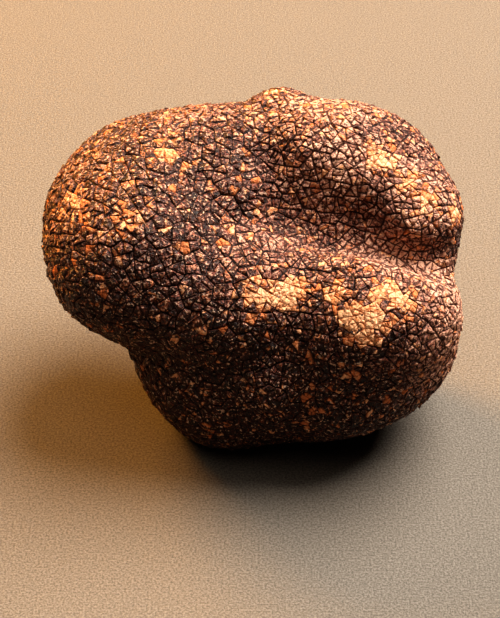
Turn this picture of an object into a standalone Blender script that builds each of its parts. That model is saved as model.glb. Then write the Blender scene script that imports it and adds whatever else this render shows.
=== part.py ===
# A black truffle: one lobed body that rests on a small flat spot and is covered in low polygonal warts.
# Lengths are in metres and +Z is up. The origin is in the middle of the resting spot, -Y is the front
# and +X is to the right as seen from the front.

import math

import bmesh
import bpy
import numpy as np
from mathutils import Matrix

# The lobes of the body: the middle of each, its half width, half depth and half height, and how far it
# leans to the right in degrees.
LOBES = {
    "belly": {"middle": (0.0060, 0.0000, 0.0125), "radii": (0.0180, 0.0158, 0.0125), "lean": 0},
    "foot": {"middle": (-0.0050, -0.0006, 0.0095), "radii": (0.0105, 0.0119, 0.0120), "lean": -28},
    "left brow": {"middle": (-0.0040, -0.0040, 0.0222), "radii": (0.0130, 0.0095, 0.0080), "lean": 0},
    "right brow": {"middle": (0.0122, -0.0058, 0.0197), "radii": (0.0115, 0.0098, 0.0092), "lean": 0},
    "crown": {"middle": (0.0083, 0.0077, 0.0260), "radii": (0.0136, 0.0112, 0.0131), "lean": 0},
    "cheek": {"middle": (0.0158, 0.0040, 0.0253), "radii": (0.0084, 0.0090, 0.0088), "lean": 0},
    "nape": {"middle": (-0.0066, 0.0094, 0.0276), "radii": (0.0118, 0.0095, 0.0104), "lean": 0},
    "knob": {"middle": (0.0023, 0.0130, 0.0315), "radii": (0.0050, 0.0050, 0.0068), "lean": 0},
    "saddle": {"middle": (-0.0032, 0.0040, 0.0300), "radii": (0.0064, 0.0060, 0.0064), "lean": 0},
    "left lobe": {"middle": (-0.0140, 0.0046, 0.0239), "radii": (0.0125, 0.0158, 0.0125), "lean": 0},
}
LOBE_BLEND = 0.0012

# The furrows: the points that each runs through, its half width and its depth.
FURROWS = {
    "under the crown": {
        "points": ((0.001, 0.002, 0.0350), (0.006, 0.000, 0.0330), (0.012, -0.0015, 0.0305)),
        "width": 0.0036,
        "depth": 0.0018,
    },
    "fold below the crown": {
        "points": (
            (0.003, -0.0015, 0.0314),
            (0.007, -0.0027, 0.0298),
            (0.012, -0.0040, 0.0282),
            (0.018, -0.0050, 0.0262),
            (0.0245, -0.0040, 0.0256),
            (0.0270, 0.0010, 0.0245),
        ),
        "width": 0.0024,
        "depth": 0.0030,
    },
    "under the cheek": {
        "points": ((0.0095, -0.0012, 0.0304), (0.0130, -0.0022, 0.0286), (0.0170, -0.0032, 0.0270)),
        "width": 0.0024,
        "depth": 0.0006,
    },
    "down the front": {
        "points": ((0.0045, -0.0155, 0.018), (0.0045, -0.0155, 0.010), (0.004, -0.0135, 0.003)),
        "width": 0.0018,
        "depth": 0.0012,
    },
    "behind the left lobe": {
        "points": ((-0.009, 0.0195, 0.034), (-0.006, 0.0210, 0.024), (-0.004, 0.0185, 0.012)),
        "width": 0.0030,
        "depth": 0.0030,
    },
}

# Long low swells of the skin: the way each one runs, its length, its height and where it starts.
SWELLS = (
    {"way": (1.0, 0.3, 0.2), "length": 0.0160, "height": 0.00014, "start": 0.4},
    {"way": (-0.2, 1.0, 0.4), "length": 0.0130, "height": 0.00014, "start": 1.3},
    {"way": (0.3, -0.4, 1.0), "length": 0.0140, "height": 0.00014, "start": 2.6},
    {"way": (0.8, 0.7, -0.5), "length": 0.0085, "height": 0.00007, "start": 0.9},
    {"way": (-0.6, 0.5, 0.7), "length": 0.0075, "height": 0.00006, "start": 3.8},
    {"way": (0.4, -0.9, 0.3), "length": 0.0095, "height": 0.00007, "start": 5.1},
)

# A point well inside the body, which nearly all of the skin faces away from.
HEART = np.array((0.0015, 0.003, 0.0185))

# How the slope of the body is measured, and how many steps bring a point onto the surface.
SLOPE_STEP = 0.0001
SETTLING_STEPS = 5

# The warts' middles are drawn from points strewn through a box round the body, those near the skin.
POINTS_STREWN = 60000
STREWN_FROM = (-0.029, -0.018, -0.002)
STREWN_TO = (0.027, 0.023, 0.042)
STREWN_NEAR = 0.0015

# The warts are larger than life: about 3 mm across where the real ones are about 1.2 mm.
WART_SPACING = 0.0022
WART_HEIGHT = 0.00022
WART_HEIGHT_SPREAD = 0.00014
CRACK_DEPTH = 0.00030
WART_TOP_SHARE = 0.74
SETTLING_ROUNDS = 2
SEED = 11

# Below this height the skin is pressed flat on what the truffle stands on.
FLAT_BELOW = 0.0005

SKIN_COLOUR = (0.105, 0.045, 0.028, 1.0)
SKIN_ROUGHNESS = 0.72


def lobe_distance(points, lobe):
    """About how far each point is outside the lobe, and negative inside it."""
    lean = np.array(Matrix.Rotation(math.radians(lobe["lean"]), 3, "Y"))
    radii = np.array(lobe["radii"])
    scaled = (points - np.array(lobe["middle"])) @ lean / radii
    length = np.linalg.norm(scaled, axis=1)
    slope = np.linalg.norm(scaled / radii, axis=1)
    return length * (length - 1) / np.maximum(slope, 1e-6)


def route_distance(points, route):
    """How far each point is from a line of straight stretches."""
    nearest = np.full(len(points), np.inf)
    for start, end in zip(np.array(route[:-1]), np.array(route[1:])):
        stretch = end - start
        along = np.clip((points - start) @ stretch / (stretch @ stretch), 0, 1)
        nearest = np.minimum(nearest, np.linalg.norm(points - start - along[:, None] * stretch, axis=1))
    return nearest


def body_depth(points):
    """Negative inside the body and positive outside: the lobes run together, less the furrows."""
    distances = np.stack([lobe_distance(points, lobe) for lobe in LOBES.values()])
    nearest = distances.min(axis=0)
    depth = nearest - LOBE_BLEND * np.log(np.exp((nearest - distances) / LOBE_BLEND).sum(axis=0))
    for furrow in FURROWS.values():
        across = route_distance(points, furrow["points"]) / furrow["width"]
        depth += furrow["depth"] * np.exp(-(across**2))
    for swell in SWELLS:
        way = np.array(swell["way"]) / np.linalg.norm(swell["way"])
        depth += swell["height"] * np.sin(points @ way * 2 * math.pi / swell["length"] + swell["start"])
    return np.maximum(depth, -points[:, 2])


def slopes_at(points):
    """How the depth grows along each axis at each point."""
    slopes = np.empty_like(points)
    for axis in range(3):
        offset = np.zeros(3)
        offset[axis] = SLOPE_STEP
        slopes[:, axis] = body_depth(points + offset) - body_depth(points - offset)
    return slopes / (2 * SLOPE_STEP)


def outward(points):
    """The direction straight out of the surface at each point."""
    slopes = slopes_at(points)
    return slopes / np.linalg.norm(slopes, axis=1, keepdims=True)


def onto_body(points):
    """Each point moved straight in or out until it lies on the surface of the body."""
    for _ in range(SETTLING_STEPS):
        slopes = slopes_at(points)
        points = points - slopes * (body_depth(points) / (slopes**2).sum(axis=1))[:, None]
    return points


def coordinates(verts):
    return np.array([vert.co for vert in verts])


def place(verts, points):
    for vert, point in zip(verts, points):
        vert.co = point


def wart_middles(rng):
    """Points strewn near the body and drawn onto it, less those that lie too close to an earlier one."""
    strewn = rng.uniform(STREWN_FROM, STREWN_TO, size=(POINTS_STREWN, 3))
    tries = onto_body(strewn[np.abs(body_depth(strewn)) < STREWN_NEAR])
    kept = tries[:1]
    for point in tries[1:]:
        if np.linalg.norm(kept - point, axis=1).min() > WART_SPACING:
            kept = np.vstack((kept, point))
    return kept


def body_mesh(rng):
    """A closed triangle mesh on the body's surface, with one vertex for the middle of each wart."""
    middles = wart_middles(rng)
    ways = middles - HEART
    ways /= np.linalg.norm(ways, axis=1, keepdims=True)
    bm = bmesh.new()
    for way in ways:
        bm.verts.new(way)
    bmesh.ops.convex_hull(bm, input=bm.verts[:])
    place(bm.verts, middles)
    for _ in range(SETTLING_ROUNDS):
        bmesh.ops.beautify_fill(bm, faces=bm.faces[:], edges=bm.edges[:], method="ANGLE")
        bmesh.ops.smooth_vert(
            bm, verts=bm.verts[:], factor=0.5, use_axis_x=True, use_axis_y=True, use_axis_z=True
        )
        place(bm.verts, onto_body(coordinates(bm.verts)))
    return bm


def turn_into_cells(bm):
    """Each vertex becomes one polygon, whose corners are the middles of the triangles round it."""
    seeds = bm.verts[:]
    edges = bm.edges[:]
    bmesh.ops.poke(bm, faces=bm.faces[:])
    bmesh.ops.rotate_edges(bm, edges=edges, use_ccw=False)
    bmesh.ops.dissolve_verts(bm, verts=seeds)
    place(bm.verts, onto_body(coordinates(bm.verts)))


def raise_warts(bm, rng):
    """Each polygon gets a flat raised top, and the corners between the polygons sink into cracks."""
    tops = bm.faces[:]
    corners = bm.verts[:]
    bmesh.ops.inset_individual(bm, faces=tops, thickness=CRACK_DEPTH)
    rims = []
    targets = []
    heights = []
    for face in tops:
        ring = face.verts[:]
        around = [next(e.other_vert(v) for e in v.link_edges if e.other_vert(v) not in ring) for v in ring]
        outline = coordinates(around)
        middle = outline.mean(axis=0)
        rims += ring
        targets += list(middle + (outline - middle) * WART_TOP_SHARE)
        heights += [WART_HEIGHT + WART_HEIGHT_SPREAD * rng.uniform(-1, 1)] * len(ring)
    points = onto_body(np.array(targets))
    place(rims, points + outward(points) * np.array(heights)[:, None])
    points = coordinates(corners)
    place(corners, points - outward(points) * CRACK_DEPTH)


def flatten_spot(bm):
    """What lies lowest is pressed into one flat face that the truffle rests on."""
    for vert in bm.verts:
        if vert.co.z < FLAT_BELOW:
            vert.co.z = 0
    flat = [face for face in bm.faces if all(vert.co.z == 0 for vert in face.verts)]
    bmesh.ops.dissolve_faces(bm, faces=flat)


def skin_material():
    material = bpy.data.materials.new("truffle skin")
    material.use_nodes = True
    shader = material.node_tree.nodes["Principled BSDF"]
    shader.inputs["Base Color"].default_value = SKIN_COLOUR
    shader.inputs["Roughness"].default_value = SKIN_ROUGHNESS
    shader.inputs["Metallic"].default_value = 0.0
    return material


def make_truffle():
    rng = np.random.default_rng(SEED)
    bm = body_mesh(rng)
    turn_into_cells(bm)
    raise_warts(bm, rng)
    flatten_spot(bm)
    bmesh.ops.triangulate(bm, faces=bm.faces[:])
    bmesh.ops.recalc_face_normals(bm, faces=bm.faces[:])
    mesh = bpy.data.meshes.new("truffle")
    bm.to_mesh(mesh)
    bm.free()
    mesh.materials.append(skin_material())
    truffle = bpy.data.objects.new("truffle", mesh)
    bpy.context.scene.collection.objects.link(truffle)


for leftover in list(bpy.data.objects):
    bpy.data.objects.remove(leftover)
make_truffle()
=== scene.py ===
import math

import bmesh
import bpy
import numpy as np
from mathutils import Matrix, Vector, noise


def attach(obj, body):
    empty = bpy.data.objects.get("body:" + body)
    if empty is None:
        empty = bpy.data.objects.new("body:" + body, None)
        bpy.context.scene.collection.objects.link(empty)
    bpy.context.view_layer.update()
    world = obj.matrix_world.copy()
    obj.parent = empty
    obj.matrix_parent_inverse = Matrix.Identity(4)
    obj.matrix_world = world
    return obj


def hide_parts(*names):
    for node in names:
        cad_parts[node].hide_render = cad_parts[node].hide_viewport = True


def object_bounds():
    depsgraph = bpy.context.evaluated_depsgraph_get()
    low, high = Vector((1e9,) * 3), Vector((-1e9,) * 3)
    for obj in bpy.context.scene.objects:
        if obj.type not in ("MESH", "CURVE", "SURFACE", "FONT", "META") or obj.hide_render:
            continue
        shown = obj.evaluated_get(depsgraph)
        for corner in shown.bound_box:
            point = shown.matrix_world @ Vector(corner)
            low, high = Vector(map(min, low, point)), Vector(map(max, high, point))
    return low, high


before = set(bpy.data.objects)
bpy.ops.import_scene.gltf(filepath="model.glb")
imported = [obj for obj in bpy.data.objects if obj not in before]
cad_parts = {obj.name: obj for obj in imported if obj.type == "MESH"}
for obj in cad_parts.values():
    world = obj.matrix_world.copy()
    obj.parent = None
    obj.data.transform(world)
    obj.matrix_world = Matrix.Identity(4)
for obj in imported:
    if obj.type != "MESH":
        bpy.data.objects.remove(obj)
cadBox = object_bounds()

# A black truffle on a pale table. All lengths are in metres and all angles in degrees.
# The truffle's body is the same sum of lobes, furrows and swells as the solid that it replaces.
body = {
    # each lobe's middle, its half width, half depth and half height, and how far it leans to the right
    "lobes": {
        "belly": {"middle": (0.0060, 0.0000, 0.0125), "radii": (0.0180, 0.0158, 0.0125), "lean": 0},
        "foot": {"middle": (-0.0050, -0.0006, 0.0095), "radii": (0.0105, 0.0119, 0.0120), "lean": -28},
        "left brow": {"middle": (-0.0040, -0.0040, 0.0222), "radii": (0.0130, 0.0095, 0.0080), "lean": 0},
        "right brow": {"middle": (0.0122, -0.0058, 0.0197), "radii": (0.0115, 0.0098, 0.0092), "lean": 0},
        "crown": {"middle": (0.0083, 0.0077, 0.0260), "radii": (0.0136, 0.0112, 0.0131), "lean": 0},
        "cheek": {"middle": (0.0158, 0.0040, 0.0253), "radii": (0.0084, 0.0090, 0.0088), "lean": 0},
        "nape": {"middle": (-0.0066, 0.0094, 0.0276), "radii": (0.0118, 0.0095, 0.0104), "lean": 0},
        "knob": {"middle": (0.0023, 0.0130, 0.0315), "radii": (0.0050, 0.0050, 0.0068), "lean": 0},
        "saddle": {"middle": (-0.0032, 0.0040, 0.0300), "radii": (0.0064, 0.0060, 0.0064), "lean": 0},
        "left lobe": {"middle": (-0.0140, 0.0046, 0.0239), "radii": (0.0125, 0.0158, 0.0125), "lean": 0},
    },
    "lobeBlend": 0.0012,  # how softly the lobes run together
    # the points that each furrow runs through, its half width and its depth
    "furrows": {
        "under the crown": {
            "points": ((0.001, 0.002, 0.0350), (0.006, 0.000, 0.0330), (0.012, -0.0015, 0.0305)),
            "width": 0.0036,
            "depth": 0.0018,
        },
        "fold below the crown": {
            "points": (
                (0.003, -0.0015, 0.0314),
                (0.007, -0.0027, 0.0298),
                (0.012, -0.0040, 0.0282),
                (0.018, -0.0050, 0.0262),
                (0.0245, -0.0040, 0.0256),
                (0.0270, 0.0010, 0.0245),
            ),
            "width": 0.0024,
            "depth": 0.0030,
        },
        "under the cheek": {
            "points": ((0.0095, -0.0012, 0.0304), (0.0130, -0.0022, 0.0286), (0.0170, -0.0032, 0.0270)),
            "width": 0.0024,
            "depth": 0.0006,
        },
        "down the front": {
            "points": ((0.0045, -0.0155, 0.018), (0.0045, -0.0155, 0.010), (0.004, -0.0135, 0.003)),
            "width": 0.0018,
            "depth": 0.0012,
        },
        "behind the left lobe": {
            "points": ((-0.009, 0.0195, 0.034), (-0.006, 0.0210, 0.024), (-0.004, 0.0185, 0.012)),
            "width": 0.0030,
            "depth": 0.0030,
        },
    },
    # long low swells of the skin: the way each one runs, its length, its height and where it starts
    "swells": (
        {"way": (1.0, 0.3, 0.2), "length": 0.0160, "height": 0.00014, "start": 0.4},
        {"way": (-0.2, 1.0, 0.4), "length": 0.0130, "height": 0.00014, "start": 1.3},
        {"way": (0.3, -0.4, 1.0), "length": 0.0140, "height": 0.00014, "start": 2.6},
        {"way": (0.8, 0.7, -0.5), "length": 0.0085, "height": 0.00007, "start": 0.9},
        {"way": (-0.6, 0.5, 0.7), "length": 0.0075, "height": 0.00006, "start": 3.8},
        {"way": (0.4, -0.9, 0.3), "length": 0.0095, "height": 0.00007, "start": 5.1},
    ),
    "heart": (0.0015, 0.003, 0.0185),  # a point well inside, which nearly all of the skin faces away from
    "slopeStep": 0.0001,  # how far apart the depth is measured to find its slope
    "settlingSteps": 4,  # how many steps bring a point onto the surface
    "leastSlope": 1e-6,
}
heart = np.array(body["heart"])


def lobeDistance(points, lobe):
    lean = np.array(Matrix.Rotation(math.radians(lobe["lean"]), 3, "Y"))
    radii = np.array(lobe["radii"])
    scaled = (points - np.array(lobe["middle"])) @ lean / radii
    length = np.linalg.norm(scaled, axis=1)
    slope = np.linalg.norm(scaled / radii, axis=1)
    return length * (length - 1) / np.maximum(slope, body["leastSlope"])


def routeDistance(points, route):
    nearest = np.full(len(points), np.inf)
    for start, end in zip(np.array(route[:-1]), np.array(route[1:])):
        stretch = end - start
        along = np.clip((points - start) @ stretch / (stretch @ stretch), 0, 1)
        nearest = np.minimum(nearest, np.linalg.norm(points - start - along[:, None] * stretch, axis=1))
    return nearest


def bodyDepth(points):
    # negative inside the body and positive outside it
    blend = body["lobeBlend"]
    distances = np.stack([lobeDistance(points, lobe) for lobe in body["lobes"].values()])
    nearest = distances.min(axis=0)
    depth = nearest - blend * np.log(np.exp((nearest - distances) / blend).sum(axis=0))
    for furrow in body["furrows"].values():
        across = routeDistance(points, furrow["points"]) / furrow["width"]
        depth += furrow["depth"] * np.exp(-(across**2))
    for swell in body["swells"]:
        way = np.array(swell["way"]) / np.linalg.norm(swell["way"])
        depth += swell["height"] * np.sin(points @ way * 2 * math.pi / swell["length"] + swell["start"])
    return np.maximum(depth, -points[:, 2])


def slopesAt(points):
    slopes = np.empty_like(points)
    for axis in range(3):
        offset = np.zeros(3)
        offset[axis] = body["slopeStep"]
        slopes[:, axis] = bodyDepth(points + offset) - bodyDepth(points - offset)
    return slopes / (2 * body["slopeStep"])


def outward(points):
    slopes = slopesAt(points)
    return slopes / np.linalg.norm(slopes, axis=1, keepdims=True)


def ontoBody(points):
    # each point moves straight in or out until it lies on the surface of the body
    for _ in range(body["settlingSteps"]):
        slopes = slopesAt(points)
        points = points - slopes * (bodyDepth(points) / (slopes**2).sum(axis=1))[:, None]
    return points


def coordinates(verts):
    return np.array([vert.co for vert in verts])


def place(verts, points):
    for vert, point in zip(verts, points):
        vert.co = point


def smoothStep(low, high, value):
    share = np.clip((value - low) / (high - low), 0, 1)
    return share * share * (3 - 2 * share)


# The skin is cut like dried mud: wide cracks round the plates, and finer and finer ones across them.
skin = {
    "seed": 7,
    "plateGap": 0.0024,  # the least distance between the middles of two plates
    "pointsStrewn": 110000,
    "strewnNear": 0.0012,  # how near to the body a strewn point has to lie
    "settlingRounds": 2,
    "settling": 0.4,  # how far each round evens out the middles of the plates
    "coarseWart": 1.40e-6,  # the area of a wart on the left, in square metres
    "fineWart": 0.86e-6,  # and on the right
    "coarseUpTo": -0.008,  # the warts grow finer between these two places
    "fineFrom": 0.004,
    "areaSpread": (0.85, 1.65),
    "cutRange": (0.38, 0.62),  # where a cut crosses a plate, along the plate
    "cutTurn": 16,  # how far a cut may turn from straight across
    "cutTries": 3,
    "snap": 0.00016,  # a cut that ends this near to a corner runs into it
    "mostCracks": 4,  # how many cracks may meet in a corner
    "clear": 0.16,  # any other cut stays this far from a corner, as a share of the side
    "crackWidths": (0.000084, 0.000066, 0.000052, 0.000046),  # half widths: round the plates, then each cut
    "crackSpread": (0.7, 1.3),
    "crackDepths": 2.4,  # a crack's depth, in half widths
    "crackLeast": 0.00004,  # what is added to that depth
    "longSide": 0.00150,  # a side longer than this gets another corner in its middle
    "wander": 0.16,  # how far a corner strays, as a share of its shortest side
    "height": 0.00012,
    "heightSpread": 0.00009,
    "tilt": 0.26,  # the most that a wart's top slopes along each of its two axes
    "shoulder": 0.00009,  # the width of the rounded edge of a wart
    "shoulderShare": 0.15,  # and the most that it takes of the wart's size
    "footHeight": 0.4,  # where the rounded edge begins, as a share of the height
    "ringInset": 0.00002,  # how far each new ring of a wart is set in before it gets its place
    "lumps": 0.000030,
    "sunkenShare": 0.05,  # how many warts lie lower than the rest
    "sunkenBy": 0.00012,
    "flatBelow": 0.00025,  # below this height the skin is pressed flat
}

# The tan crusts: the middle of each, how far it reaches, how much of it is covered and how pale it is.
crusts = {
    "left brow": {"middle": (-0.0003, -0.0112, 0.0266), "reach": 0.0028, "cover": 0.95, "pale": 0.9},
    "left brow, inner": {"middle": (0.0030, -0.0105, 0.0263), "reach": 0.0027, "cover": 0.95, "pale": 0.9},
    "left brow, edge": {"middle": (-0.0012, -0.0128, 0.0247), "reach": 0.0010, "cover": 0.9, "pale": 0.4},
    "middle": {"middle": (0.0080, -0.0115, 0.0268), "reach": 0.0018, "cover": 0.7, "pale": 0.8},
    "right brow": {"middle": (0.0100, -0.0141, 0.0248), "reach": 0.0024, "cover": 1.0, "pale": 0.8},
    "right brow, outer": {"middle": (0.0124, -0.0142, 0.0250), "reach": 0.0025, "cover": 1.1, "pale": 1.0},
    "right brow, low": {"middle": (0.0116, -0.0150, 0.0236), "reach": 0.0022, "cover": 1.0, "pale": 0.8},
    "right": {"middle": (0.0142, -0.0116, 0.0269), "reach": 0.0022, "cover": 0.9, "pale": 0.8},
    "right, outer": {"middle": (0.0160, -0.0121, 0.0262), "reach": 0.0020, "cover": 0.9, "pale": 0.7},
    "cheek": {"middle": (0.0140, 0.0023, 0.0360), "reach": 0.0021, "cover": 1.1, "pale": 0.9},
    "cheek, inner": {"middle": (0.0126, 0.0015, 0.0358), "reach": 0.0012, "cover": 0.8, "pale": 0.5},
    "cheek, lower": {"middle": (0.0166, 0.0004, 0.0341), "reach": 0.0018, "cover": 0.65, "pale": 0.5},
    "cheek, outer": {"middle": (0.0190, -0.0014, 0.0320), "reach": 0.0026, "cover": 0.65, "pale": 0.6},
    "cheek, rim": {"middle": (0.0230, 0.0003, 0.0296), "reach": 0.0016, "cover": 1.0, "pale": 0.5},
    "left lobe, top": {"middle": (-0.0110, 0.0025, 0.0365), "reach": 0.0015, "cover": 0.8, "pale": 0.4},
    "left lobe, streak": {"middle": (-0.0095, 0.0008, 0.0356), "reach": 0.0009, "cover": 0.9, "pale": 0.3},
    "left lobe, end": {"middle": (-0.0226, -0.0010, 0.0318), "reach": 0.0026, "cover": 0.6, "pale": 0.8},
    "left lobe, low": {"middle": (-0.0205, -0.0037, 0.0318), "reach": 0.0020, "cover": 0.5, "pale": 0.5},
    "left lobe, front": {"middle": (-0.0151, -0.0062, 0.0330), "reach": 0.0016, "cover": 0.45, "pale": 0.5},
    "front, high": {"middle": (0.0041, -0.0134, 0.0211), "reach": 0.0007, "cover": 0.9, "pale": 0.2},
    "front, middle": {"middle": (0.0053, -0.0141, 0.0197), "reach": 0.0008, "cover": 0.9, "pale": 0.3},
    "front, right": {"middle": (0.0110, -0.0155, 0.0180), "reach": 0.0018, "cover": 0.6, "pale": 0.2},
    "front, low": {"middle": (0.0060, -0.0152, 0.0143), "reach": 0.0022, "cover": 0.45, "pale": 0.1},
    "knob": {"middle": (0.0013, 0.0127, 0.0386), "reach": 0.0014, "cover": 0.7, "pale": 0.7},
    "back": {"middle": (0.0060, 0.0190, 0.0260), "reach": 0.0040, "cover": 0.8, "pale": 0.8},
    "back, low": {"middle": (-0.0120, 0.0180, 0.0180), "reach": 0.0035, "cover": 0.6, "pale": 0.6},
}
crustLook = {
    "wart": 0.52e-6,  # the area of a wart in a crust, which is cut finer than the rest
    "crack": 0.000032,
    "fill": 0.00004,  # the cracks in a crust are filled up to this height
    "heightSpread": 0.00003,
    "dome": 0.00005,  # the height of the dome on a wart that is domeOn across
    "domeOn": 0.001,
    "domeSpread": (0.3, 1),
    "tilt": 0.06,
    "ragged": 0.60,  # how ragged the crusts' edges are
    "raggedScale": 850,
    "scatter": 0.26,  # how far a wart's own amount of crust strays
    "from": 0.45,  # the amount from which a wart is crust
    "cooling": 0.5,  # how much paler a crust gets where there is more of it
    "warmthSpread": 0.25,
    "halo": 0.45,  # how far below the amount of a crust the warts round it are still warm
    "haloWarmth": (0.1, 1.0),
    "rareRust": 9,  # the higher, the fewer rust-coloured warts elsewhere
}
patchEnd = 1.25  # a crust or a dusting fades to nothing at this many times its reach

# Dust, wear and painted light make the skin paler where it faces up, and more so in these places; part of
# this is painted light, which brightens the tops and places such as the fold and the crown's underside that
# lie in shade.
dustAndPaintedLightPlaces = {
    "centre": {"middle": (0.0020, -0.0065, 0.0288), "reach": 0.0085, "amount": 0.4},
    "right of the fold": {"middle": (0.0140, -0.0080, 0.0280), "reach": 0.0080, "amount": 0.5},
    "cheek": {"middle": (0.0180, 0.0010, 0.0330), "reach": 0.0085, "amount": 0.9},
    "crown": {"middle": (0.0080, 0.0080, 0.0385), "reach": 0.0095, "amount": 0.8},
    "right side": {"middle": (0.0230, -0.0075, 0.0180), "reach": 0.0110, "amount": 1.7},
    "front right": {"middle": (0.0165, -0.0135, 0.0190), "reach": 0.0060, "amount": 0.6},
    "left lobe": {"middle": (-0.0220, 0.0000, 0.0310), "reach": 0.0070, "amount": 0.3},
    "nape": {"middle": (-0.0080, 0.0090, 0.0370), "reach": 0.0060, "amount": 0.4},
    "under the crown": {"middle": (0.0090, 0.0010, 0.0345), "reach": 0.0085, "amount": 1.3},
    "fold": {"middle": (0.0170, -0.0040, 0.0280), "reach": 0.0090, "amount": 1.2},
}
# painted light from above, together with the dust: the more the skin faces up, the paler it is painted
dustAndPaintedLightFacing = {"from": -0.25, "to": 0.75, "amount": 0.55}  # how far up the skin faces where it turns paler


def plateMiddles(rng):
    # points strewn near the body are drawn onto it, and kept unless they lie too close to an earlier one
    low, high = np.array(cadBox[0]) - skin["strewnNear"], np.array(cadBox[1]) + skin["strewnNear"]
    tries = rng.uniform(low, high, size=(skin["pointsStrewn"], 3))
    tries = ontoBody(tries[np.abs(bodyDepth(tries)) < skin["strewnNear"]])
    kept = tries[:1]
    for point in tries[1:]:
        if np.linalg.norm(kept - point, axis=1).min() > skin["plateGap"]:
            kept = np.vstack((kept, point))
    return kept


def plateMesh(rng):
    middles = plateMiddles(rng)
    ways = middles - heart
    ways /= np.linalg.norm(ways, axis=1, keepdims=True)
    bm = bmesh.new()
    for way in ways:
        bm.verts.new(way)
    bmesh.ops.convex_hull(bm, input=bm.verts[:])
    place(bm.verts, middles)
    for _ in range(skin["settlingRounds"]):
        bmesh.ops.beautify_fill(bm, faces=bm.faces[:], edges=bm.edges[:], method="ANGLE")
        bmesh.ops.smooth_vert(
            bm, verts=bm.verts[:], factor=skin["settling"], use_axis_x=True, use_axis_y=True, use_axis_z=True
        )
        place(bm.verts, ontoBody(coordinates(bm.verts)))
    # each vertex becomes a plate, whose corners are the middles of the triangles round it
    seeds = bm.verts[:]
    edges = bm.edges[:]
    bmesh.ops.poke(bm, faces=bm.faces[:])
    bmesh.ops.rotate_edges(bm, edges=edges, use_ccw=False)
    bmesh.ops.dissolve_verts(bm, verts=seeds)
    place(bm.verts, ontoBody(coordinates(bm.verts)))
    return bm


def cutEnd(edge, start, share):
    # where a cut ends: in a corner close by that has room for it, or else in a new corner on the edge
    for corner, away in ((start, share), (edge.other_vert(start), 1 - share)):
        if away * edge.calc_length() < skin["snap"] and len(corner.link_edges) < skin["mostCracks"]:
            return corner
    share = min(max(share, skin["clear"]), 1 - skin["clear"])
    return bmesh.utils.edge_split(edge, start, share)[1]


def cutAcross(face, rng):
    # one cut across the long way of a face; gives the new face and edge, or nothing where none fits
    face.normal_update()
    spots = coordinates(face.verts)
    middle = spots.mean(axis=0)
    longWay = Vector(np.linalg.eigh((spots - middle).T @ (spots - middle))[1][:, 2])
    turn = math.radians(rng.uniform(-skin["cutTurn"], skin["cutTurn"]))
    across = np.array(Matrix.Rotation(turn, 3, face.normal) @ longWay)
    reach = (spots - middle) @ across
    offsets = reach - reach.min() - (reach.max() - reach.min()) * rng.uniform(*skin["cutRange"])
    crossings = []
    for index, loop in enumerate(face.loops):
        here, there = offsets[index], offsets[(index + 1) % len(offsets)]
        if here * there < 0:
            crossings.append((loop.edge, loop.vert, here / (here - there)))
    if len(crossings) != 2:
        return None
    ends = [cutEnd(*crossing) for crossing in crossings]
    if ends[0] == ends[1] or any(ends[1] in edge.verts for edge in ends[0].link_edges):
        return None
    newFace, newLoop = bmesh.utils.face_split(face, ends[0], ends[1])
    return newFace, newLoop.edge


def cutUp(bm, faces, limitOf, widthOf, rng):
    # cuts each face in two until its area is under the limit
    halfWidth = bm.edges.layers.float["halfWidth"]
    waiting = [(face, 0) for face in faces]
    while waiting:
        face, level = waiting.pop()
        if face.calc_area() < limitOf(face) * rng.uniform(*skin["areaSpread"]):
            continue
        for _ in range(skin["cutTries"]):
            cut = cutAcross(face, rng)
            if cut:
                cut[1][halfWidth] = widthOf(level) * rng.uniform(*skin["crackSpread"])
                waiting += [(face, level + 1), (cut[0], level + 1)]
                break


def wartArea(face):
    x = face.calc_center_median().x
    share = float(smoothStep(skin["coarseUpTo"], skin["fineFrom"], x))
    return skin["coarseWart"] * (1 - share) + skin["fineWart"] * share


def strayCorners(bm, rng):
    # long sides get a corner in the middle, and all corners stray sideways, so that no crack stays straight
    for edge in bm.edges[:]:
        if edge.calc_length() > skin["longSide"]:
            bmesh.utils.edge_split(edge, edge.verts[0], 0.5)
    for vert in bm.verts:
        shortest = min(edge.calc_length() for edge in vert.link_edges)
        vert.co += Vector(rng.uniform(-1, 1, 3)) * shortest * skin["wander"]
    place(bm.verts, ontoBody(coordinates(bm.verts)))


def amountAt(points, patches, key):
    # how strongly the nearest of the patches is felt at each point: its own value in its middle
    amount = np.zeros(len(points))
    for patch in patches.values():
        away = np.linalg.norm(points - np.array(patch["middle"]), axis=1) / patch["reach"]
        amount = np.maximum(amount, patch[key] * np.clip(patchEnd - away, 0, 1))
    return amount


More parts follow.
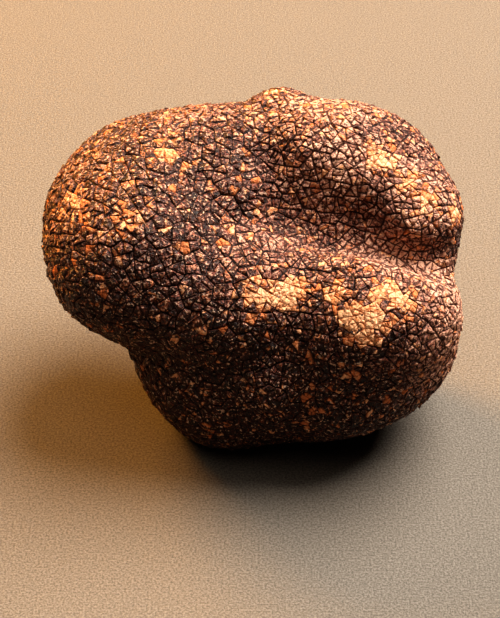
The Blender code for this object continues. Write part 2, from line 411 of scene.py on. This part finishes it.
def colourWarts(bm, rng):
    # gives each wart its tone, its cover of crust, its warmth, and its dust together with painted light
    tone = bm.faces.layers.float.new("tone")
    cover = bm.faces.layers.float.new("cover")
    warmth = bm.faces.layers.float.new("warmth")
    dust = bm.faces.layers.float.new("dust")
    middles = np.array([face.calc_center_median() for face in bm.faces])
    wavy = np.array([noise.noise(Vector(middle) * crustLook["raggedScale"]) for middle in middles])
    amounts = amountAt(middles, crusts, "cover") + wavy * crustLook["ragged"]
    amounts = amounts + rng.uniform(-1, 1, len(middles)) * crustLook["scatter"]
    pales = amountAt(middles, crusts, "pale")
    bm.normal_update()
    # painted light: warts that face up, and warts in the listed places, are painted paler, together with
    # their dust
    facing = np.array([face.normal.z for face in bm.faces])
    dustAndPaintedLightAmounts = smoothStep(dustAndPaintedLightFacing["from"], dustAndPaintedLightFacing["to"], facing) * dustAndPaintedLightFacing["amount"]
    dustAndPaintedLightAmounts = dustAndPaintedLightAmounts + amountAt(middles, dustAndPaintedLightPlaces, "amount")
    for face, amount, pale, dustAndPaintedLightAmount in zip(bm.faces, amounts, pales, dustAndPaintedLightAmounts):
        over = amount - crustLook["from"]
        face[tone] = rng.random()
        face[cover] = min(max(amount, 0), 1)
        if over > 0:
            strayed = rng.uniform(-crustLook["warmthSpread"], crustLook["warmthSpread"])
            face[warmth] = min(max(1 - pale - over * crustLook["cooling"] + strayed, 0), 1)
        else:
            near = min(max(1 + over / crustLook["halo"], 0), 1)
            warm = near * rng.uniform(*crustLook["haloWarmth"])
            face[warmth] = min(max(warm, rng.random() ** crustLook["rareRust"]), 1)
        face[dust] = dustAndPaintedLightAmount


def isCrust(bm, face):
    return face[bm.faces.layers.float["cover"]] > crustLook["from"]


def softenCrustCracks(bm):
    # the cracks inside a crust are narrow and nearly filled
    halfWidth = bm.edges.layers.float["halfWidth"]
    for edge in bm.edges:
        if all(isCrust(bm, face) for face in edge.link_faces):
            edge[halfWidth] = min(edge[halfWidth], crustLook["crack"])


mitre = {
    "straight": 0.97,  # above this cosine of its turn a corner counts as straight
    "sharp": -0.6,  # and below this one it is too sharp for a mitre
    "room": 0.5,  # the most that a corner moves towards the middle, as a share of the way there
    "leastSide": 1e-9,
}


def insetOutline(outline, widths):
    # the outline moved inwards by its own width along each side, with mitred corners
    count = len(outline)
    middle = outline.mean(axis=0)
    sides = np.roll(outline, -1, axis=0) - outline
    inwards = np.stack((-sides[:, 1], sides[:, 0]), axis=1)
    inwards /= np.maximum(np.linalg.norm(inwards, axis=1, keepdims=True), mitre["leastSide"])
    moved = np.empty_like(outline)
    for corner in range(count):
        before, after = inwards[corner - 1], inwards[corner]
        widthBefore, widthAfter = widths[corner - 1], widths[corner]
        cosine = before @ after
        if cosine > mitre["straight"] or cosine < mitre["sharp"]:
            shift = (before * widthBefore + after * widthAfter) / 2
        else:
            square = 1 - cosine * cosine
            shift = before * (widthBefore - widthAfter * cosine) / square
            shift = shift + after * (widthAfter - widthBefore * cosine) / square
        room = np.linalg.norm(middle - outline[corner]) * mitre["room"]
        length = np.linalg.norm(shift)
        if length > room:
            shift = shift * room / length
        moved[corner] = outline[corner] + shift
    return moved


def wartPlan(face, halfWidth):
    # the flat outlines of a wart's foot and crest, the axes they lie along and the wart's size
    face.normal_update()
    middle = face.calc_center_median()
    right = face.normal.orthogonal().normalized()
    axes = np.array((right, face.normal.cross(right)))
    outline = (coordinates(face.verts) - np.array(middle)) @ axes.T
    widths = np.array([loop.edge[halfWidth] for loop in face.loops])
    size = math.sqrt(face.calc_area())
    shoulder = min(skin["shoulder"], size * skin["shoulderShare"])
    foot = insetOutline(outline, widths)
    crest = insetOutline(outline, widths + shoulder)
    return np.array(middle), axes, foot, crest, size


def raiseFrom(verts, points, heights, flat):
    # moves each vertex straight out of the body and notes where it would lie on it
    place(verts, points + outward(points) * heights[:, None])
    for vert, point in zip(verts, points):
        vert[flat] = point


def raiseWarts(bm, rng):
    halfWidth = bm.edges.layers.float["halfWidth"]
    ridge = bm.verts.layers.float.new("ridge")
    flat = bm.verts.layers.float_vector.new("flat")
    tops = bm.faces[:]
    corners = bm.verts[:]
    depths = []
    for corner in corners:
        widest = max(edge[halfWidth] for edge in corner.link_edges)
        filled = all(isCrust(bm, face) for face in corner.link_faces)
        depths.append(-crustLook["fill"] if filled else widest * skin["crackDepths"] + skin["crackLeast"])
    plans = [wartPlan(face, halfWidth) for face in tops]
    rings = []
    for _ in range(2):  # the foot and the crest
        bmesh.ops.inset_individual(bm, faces=tops, thickness=skin["ringInset"])
        rings.append([face.verts[:] for face in tops])
    verts = []
    targets = []
    heights = []
    crests = []
    for face, first, second, plan in zip(tops, rings[0], rings[1], plans):
        middle, axes, foot, crest, size = plan
        slope = rng.uniform(-1, 1, 2) * skin["tilt"]
        height = skin["height"] + skin["heightSpread"] * rng.uniform(-1, 1)
        if isCrust(bm, face):
            height = skin["height"] + crustLook["heightSpread"] * rng.uniform(-1, 1)
            slope = slope * crustLook["tilt"] / skin["tilt"]
            dome = crustLook["dome"] * rng.uniform(*crustLook["domeSpread"])
            crests.append(height + dome * size / crustLook["domeOn"])
        elif rng.random() < skin["sunkenShare"]:
            height -= skin["sunkenBy"]
        for ring, spots, share in ((first, foot, skin["footHeight"]), (second, crest, 1)):
            verts += ring
            targets += list(middle + spots @ axes)
            heights += list(height * share + spots @ slope + rng.uniform(-1, 1, len(ring)) * skin["lumps"])
            for vert in ring:
                vert[ridge] = share
    raiseFrom(verts, ontoBody(np.array(targets)), np.array(heights), flat)
    raiseFrom(corners, coordinates(corners), -np.array(depths), flat)
    poked = bmesh.ops.poke(bm, faces=[face for face in tops if isCrust(bm, face)])["verts"]
    raiseFrom(poked, ontoBody(coordinates(poked)), np.array(crests), flat)
    for vert in poked:
        vert[ridge] = 1


def flattenSpot(bm):
    for vert in bm.verts:
        if vert.co.z < skin["flatBelow"]:
            vert.co.z = 0


bakeMap = {"columns": 3, "rows": 2, "fill": 0.84}  # fill is how much of its cell a chart takes


def unfold(bm):
    # six charts, one for each side of a box round the heart; the warts are laid flat
    layer = bm.loops.layers.uv.new("OFBake")
    columns, rows, fill = bakeMap["columns"], bakeMap["rows"], bakeMap["fill"]
    flat = bm.verts.layers.float_vector["flat"]
    for face in bm.faces:
        outs = [loop.vert[flat] - Vector(heart) for loop in face.loops]
        way = sum(outs, Vector()) / len(outs)
        axis = max(range(3), key=lambda a: abs(way[a]))
        side = 1 if way[axis] > 0 else -1
        chart = axis + (3 if side > 0 else 0)
        first, second = (axis + 1) % 3, (axis + 2) % 3
        for loop, out in zip(face.loops, outs):
            across = math.atan2(out[first], abs(out[axis])) / math.pi * 2
            up = math.atan2(out[second], abs(out[axis])) / math.pi * 2
            loop[layer].uv = (
                (chart % columns + 0.5 + across * fill * side) / columns,
                (chart // columns + 0.5 + up * fill) / rows,
            )


def makeSkin():
    rng = np.random.default_rng(skin["seed"])
    bm = plateMesh(rng)
    print("plates:", len(bm.faces))
    halfWidth = bm.edges.layers.float.new("halfWidth")
    for edge in bm.edges:
        edge[halfWidth] = skin["crackWidths"][0] * rng.uniform(*skin["crackSpread"])
    lastWidth = len(skin["crackWidths"]) - 1
    cutUp(bm, bm.faces[:], wartArea, lambda level: skin["crackWidths"][min(level + 1, lastWidth)], rng)
    strayCorners(bm, rng)
    print("warts:", len(bm.faces))
    colourWarts(bm, rng)
    crusted = [face for face in bm.faces if isCrust(bm, face)]
    cutUp(bm, crusted, lambda face: crustLook["wart"], lambda level: crustLook["crack"], rng)
    place(bm.verts, ontoBody(coordinates(bm.verts)))
    print("warts, with the crusts cut finer:", len(bm.faces))
    softenCrustCracks(bm)
    raiseWarts(bm, rng)
    flattenSpot(bm)
    bmesh.ops.triangulate(bm, faces=bm.faces[:])
    bmesh.ops.recalc_face_normals(bm, faces=bm.faces[:])
    unfold(bm)
    print("triangles:", len(bm.faces))
    mesh = bpy.data.meshes.new("truffleSkin")
    bm.to_mesh(mesh)
    bm.free()
    mesh.shade_smooth()
    piece = bpy.data.objects.new("truffleSkin", mesh)
    bpy.context.scene.collection.objects.link(piece)
    return piece


class Wire:
    # an output of a node, whose sums and products become Math nodes
    def __init__(self, maker, socket):
        self.maker = maker
        self.socket = socket

    def maths(self, operation, *values):
        return self.maker.node("ShaderNodeMath", {"operation": operation}, dict(enumerate(values)))

    def __add__(self, other):
        return self.maths("ADD", self, other)

    def __sub__(self, other):
        return self.maths("SUBTRACT", self, other)

    def __rsub__(self, other):
        return self.maths("SUBTRACT", other, self)

    def __mul__(self, other):
        return self.maths("MULTIPLY", self, other)

    __radd__ = __add__
    __rmul__ = __mul__


class Finish:
    # a material that is built up node by node round its Principled shader
    def __init__(self, name):
        self.material = bpy.data.materials.new(name)
        self.material.use_nodes = True
        self.tree = self.material.node_tree
        self.shader = self.tree.nodes["Principled BSDF"]

    def node(self, kind, settings, inputs, output=0):
        node = self.tree.nodes.new(kind)
        for key, value in settings.items():
            if key == "stops":
                ramp = node.color_ramp
                while len(ramp.elements) < len(value):
                    ramp.elements.new(1)
                for element, (position, colour) in zip(ramp.elements, value):
                    element.position = position
                    element.color = (*colour, 1)
            else:
                setattr(node, key, value)
        for key, value in inputs.items():
            self.feed(node.inputs[key], value)
        return Wire(self, node.outputs[output])

    def feed(self, socket, value):
        if isinstance(value, Wire):
            self.tree.links.new(value.socket, socket)
        else:
            socket.default_value = value

    def objectPlace(self):
        return self.node("ShaderNodeTexCoord", {}, {}, "Object")

    def attribute(self, name):
        return self.node("ShaderNodeAttribute", {"attribute_name": name}, {}, "Fac")

    def noise(self, place, grain):
        inputs = {"Vector": place, "Scale": grain["scale"]}
        inputs.update({"Detail": grain["detail"], "Roughness": grain["roughness"]})
        return self.node("ShaderNodeTexNoise", {}, inputs)

    def between(self, value, limits):
        # rises softly from 0 at the lower limit to 1 at the upper one
        inputs = {"Value": value, "From Min": limits["from"], "From Max": limits["to"]}
        return self.node("ShaderNodeMapRange", {"interpolation_type": "SMOOTHSTEP"}, inputs)

    def blend(self, share, first, second):
        # the mix node's sockets: 0 is its factor, 6 and 7 are its two colours and 2 is the mixed colour
        settings = {"data_type": "RGBA", "clamp_factor": True}
        return self.node("ShaderNodeMix", settings, {0: share, 6: first, 7: second}, 2)

    def ramp(self, value, stops):
        return self.node("ShaderNodeValToRGB", {"stops": stops}, {0: value})

    def relief(self, height, strength, distance):
        inputs = {"Strength": strength, "Distance": distance, "Height": height}
        self.feed(self.shader.inputs["Normal"], self.node("ShaderNodeBump", {}, inputs, "Normal"))


skinLook = {
    "grain": {"scale": 3000, "detail": 3, "roughness": 0.55},
    "redSpots": {"scale": 1900, "detail": 2, "roughness": 0.6},
    "lumps": {"scale": 1350, "detail": 2, "roughness": 0.55},
    "patches": {"scale": 330, "detail": 3, "roughness": 0.5},
    "wartColours": (  # from the darkest wart to the palest
        (0.00, (0.014, 0.004, 0.0025)),
        (0.35, (0.120, 0.038, 0.024)),
        (0.70, (0.390, 0.165, 0.108)),
        (1.00, (0.760, 0.430, 0.300)),
    ),
    "shade": {"tone": 0.4, "lumps": 1.7, "patches": 0.8, "dust": 0.70, "base": -0.24},
    # the colours that lie over the warts' own: where each begins and is full, and how much of it shows
    "red": {"from": 0.50, "to": 0.64, "share": 0.65, "colour": (0.300, 0.065, 0.028, 1)},
    "rust": {
        "warmth": 0.8,
        "lumps": 2.0,
        "from": 0.3,
        "to": 0.8,
        "share": 0.3,
        "dustAndLightShare": 0.3,
        "colour": (0.600, 0.180, 0.055, 1),
    },
    # pale grains on the warts, partly painted glints: the bright specks stand in for glints of light on the
    # grains, and show more where there is less dust and painted light
    "paleGrainAndGlint": {
        "dust": 0.03,
        "from": 0.58,
        "to": 0.64,
        "share": 0.85,
        # dust hides the grain, and where the skin is painted lit there are fewer painted glints
        "dustAndLightLess": 0.4,  # dust hides the grain
        "colour": (0.900, 0.600, 0.420, 1),
    },
    "darkGrain": {"dust": 0.05, "from": 0.46, "to": 0.53, "share": 0.9, "colour": (0.020, 0.005, 0.003, 1)},
    "top": {"grain": 1.1, "from": 0.35, "to": 0.9},  # the top of a wart, above its shoulder
    "shoulder": (0.1300, 0.0370, 0.0210, 1),
    "crust": {"lumps": 1.9, "from": 0.34, "to": 0.50},
    "crustShade": {"redSpots": 1.4, "shoulder": 0.35, "paleGrainAndGlint": 0.2, "darkGrain": 0.35},
    "crustColours": (  # from the palest crust to the most orange
        (0.00, (0.880, 0.510, 0.290)),
        (0.45, (0.790, 0.375, 0.180)),
        (1.00, (0.600, 0.190, 0.060)),
    ),
    "raised": {"grain": 0.5, "from": 0.12, "to": 0.5},  # what stands above the cracks
    # painted shade: the cracks are painted nearly black, the crusts' cracks a darker orange, and cracks
    # where dust and painted light lie are painted paler
    "crack": (0.0090, 0.0025, 0.0015, 1),
    "dustyAndLitCrack": {"from": 0.9, "to": 1.5, "colour": (0.2100, 0.0950, 0.0620, 1)},
    "crustCrack": (0.360, 0.125, 0.050, 1),
    "gloss": 0.55,
    "roughness": {"base": 0.42, "paleGrainAndGlint": 0.1, "crust": 0.2, "dust": 0.12},
    "relief": {"height": 0.00048, "lumps": 0.7, "crustLess": 0.4},  # crusts have less grain in their relief
}


def skinFinish():
    finish = Finish("truffleSkin")
    look = skinLook
    place = finish.objectPlace()
    ridge = finish.attribute("ridge")
    tone = finish.attribute("tone")
    cover = finish.attribute("cover")
    warmth = finish.attribute("warmth")
    dust = finish.attribute("dust")
    # each noise runs from 0 to 1, and less a half it lightens as much as it darkens
    grain = finish.noise(place, look["grain"])
    redSpots = finish.noise(place, look["redSpots"])
    lumps = finish.noise(place, look["lumps"])
    patches = finish.noise(place, look["patches"])
    grainy, spotty, lumpy, patchy = grain - 0.5, redSpots - 0.5, lumps - 0.5, patches - 0.5

    mix = look["shade"]
    # painted light: warts that face up or lie in the listed places are painted paler, and those that face
    # down or forward stay near black
    shade = tone * mix["tone"] + lumpy * mix["lumps"] + patchy * mix["patches"] + dust * mix["dust"]
    colour = finish.ramp(shade + mix["base"], look["wartColours"])
    mix = look["red"]
    colour = finish.blend(finish.between(redSpots, mix) * mix["share"], colour, mix["colour"])
    mix = look["rust"]
    rusty = finish.between(warmth * mix["warmth"] + lumpy * mix["lumps"], mix)
    colour = finish.blend(rusty * (mix["share"] + dust * mix["dustAndLightShare"]), colour, mix["colour"])
    # pale grains and painted glints
    mix = look["paleGrainAndGlint"]
    pale = finish.between(grain + dust * mix["dust"], mix)
    colour = finish.blend(pale * (mix["share"] - dust * mix["dustAndLightLess"]), colour, mix["colour"])
    mix = look["darkGrain"]
    dark = 1 - finish.between(grain + dust * mix["dust"], mix)
    colour = finish.blend(dark * mix["share"], colour, mix["colour"])
    top = finish.between(ridge + grainy * look["top"]["grain"], look["top"])
    colour = finish.blend(top, look["shoulder"], colour)

    # the crust is whole in the middle of a patch and breaks up towards its edge
    crust = finish.between(cover + lumpy * look["crust"]["lumps"], look["crust"])
    mix = look["crustShade"]
    crustShade = warmth + spotty * mix["redSpots"] + (1 - top) * mix["shoulder"]
    crustShade = crustShade - pale * mix["paleGrainAndGlint"] + dark * mix["darkGrain"]
    colour = finish.blend(crust, colour, finish.ramp(crustShade, look["crustColours"]))

    # painted shade fills the cracks, paler where dust and painted light lie and a darker orange in the
    # crusts
    dustyAndLit = finish.between(dust, look["dustyAndLitCrack"])
    shadedCrackColour = finish.blend(dustyAndLit, look["crack"], look["dustyAndLitCrack"]["colour"])
    shadedCrackColour = finish.blend(crust, shadedCrackColour, look["crustCrack"])
    raised = finish.between(ridge + grainy * look["raised"]["grain"], look["raised"])
    finish.feed(finish.shader.inputs["Base Color"], finish.blend(raised, shadedCrackColour, colour))

    mix = look["roughness"]
    rough = mix["base"] + pale * mix["paleGrainAndGlint"] + crust * mix["crust"] + dust * mix["dust"]
    finish.feed(finish.shader.inputs["Roughness"], rough)
    finish.shader.inputs["Specular IOR Level"].default_value = look["gloss"]
    mix = look["relief"]
    height = grain * (1 - crust * mix["crustLess"]) + lumps * mix["lumps"]
    finish.relief(height, 1.0, mix["height"])
    return finish.material


skinPiece = makeSkin()
skinPiece.data.materials.append(skinFinish())
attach(skinPiece, "root")
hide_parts("truffle")

# The table, the light and the camera.
table = {
    "size": 1.6,
    "colour": (0.250, 0.216, 0.180, 1),
    "darker": (0.120, 0.102, 0.084, 1),
    "roughness": 0.8,
    "felt": {"scale": 3800, "detail": 4, "roughness": 0.7, "from": 0.35, "to": 0.65},
    "relief": {"height": 0.0002, "strength": 0.5},
}
lights = {
    "key": {"from": (0.22, 0.14, 0.48), "size": 0.44, "power": 6.6, "colour": (1.0, 0.96, 0.90)},
    "above": {"from": (-0.08, -0.06, 0.50), "size": 0.60, "power": 0.9, "colour": (1.0, 0.94, 0.86)},
    "warm": {"from": (-0.36, 0.38, 0.34), "size": 0.24, "power": 5.4, "colour": (1.0, 0.50, 0.10)},
}
lampTarget = (0, 0, 0.01)
room = {"colour": (1.0, 0.66, 0.42, 1), "strength": 0.015}
view = {
    "target": (-0.0014, 0.0060, 0.0109),
    "elevation": 38,
    "distance": 0.219,
    "lens": 100,
    "sensor": 36,
    "clipStart": 0.01,
}


def makeTable():
    bm = bmesh.new()
    bmesh.ops.create_grid(bm, x_segments=1, y_segments=1, size=table["size"] / 2)
    mesh = bpy.data.meshes.new("table")
    bm.to_mesh(mesh)
    bm.free()
    finish = Finish("table")
    felt = finish.between(finish.noise(finish.objectPlace(), table["felt"]), table["felt"])
    finish.feed(finish.shader.inputs["Base Color"], finish.blend(felt, table["darker"], table["colour"]))
    finish.shader.inputs["Roughness"].default_value = table["roughness"]
    finish.relief(felt, table["relief"]["strength"], table["relief"]["height"])
    mesh.materials.append(finish.material)
    piece = bpy.data.objects.new("table", mesh)
    bpy.context.scene.collection.objects.link(piece)


def aim(thing, start, end):
    thing.location = start
    thing.rotation_euler = (Vector(end) - Vector(start)).to_track_quat("-Z", "Y").to_euler()


def makeLights():
    for name, light in lights.items():
        lamp = bpy.data.lights.new(name, "AREA")
        lamp.shape = "DISK"
        lamp.size = light["size"]
        lamp.energy = light["power"]
        lamp.color = light["colour"]
        thing = bpy.data.objects.new(name, lamp)
        bpy.context.scene.collection.objects.link(thing)
        aim(thing, light["from"], lampTarget)
    world = bpy.data.worlds.new("room")
    world.use_nodes = True
    background = world.node_tree.nodes["Background"]
    background.inputs["Color"].default_value = room["colour"]
    background.inputs["Strength"].default_value = room["strength"]
    bpy.context.scene.world = world


def makeCamera():
    rise = math.radians(view["elevation"])
    camera = bpy.data.cameras.new("camera")
    camera.lens = view["lens"]
    camera.sensor_width = view["sensor"]
    camera.sensor_fit = "AUTO"
    camera.clip_start = view["clipStart"]
    thing = bpy.data.objects.new("camera", camera)
    bpy.context.scene.collection.objects.link(thing)
    back = Vector((0, -math.cos(rise), math.sin(rise))) * view["distance"]
    aim(thing, Vector(view["target"]) + back, view["target"])
    bpy.context.scene.camera = thing


makeTable()
makeLights()
makeCamera()
bpy.context.scene.view_settings.view_transform = "Standard"
bpy.context.scene.view_settings.look = "High Contrast"
print("table, light and camera are in place")
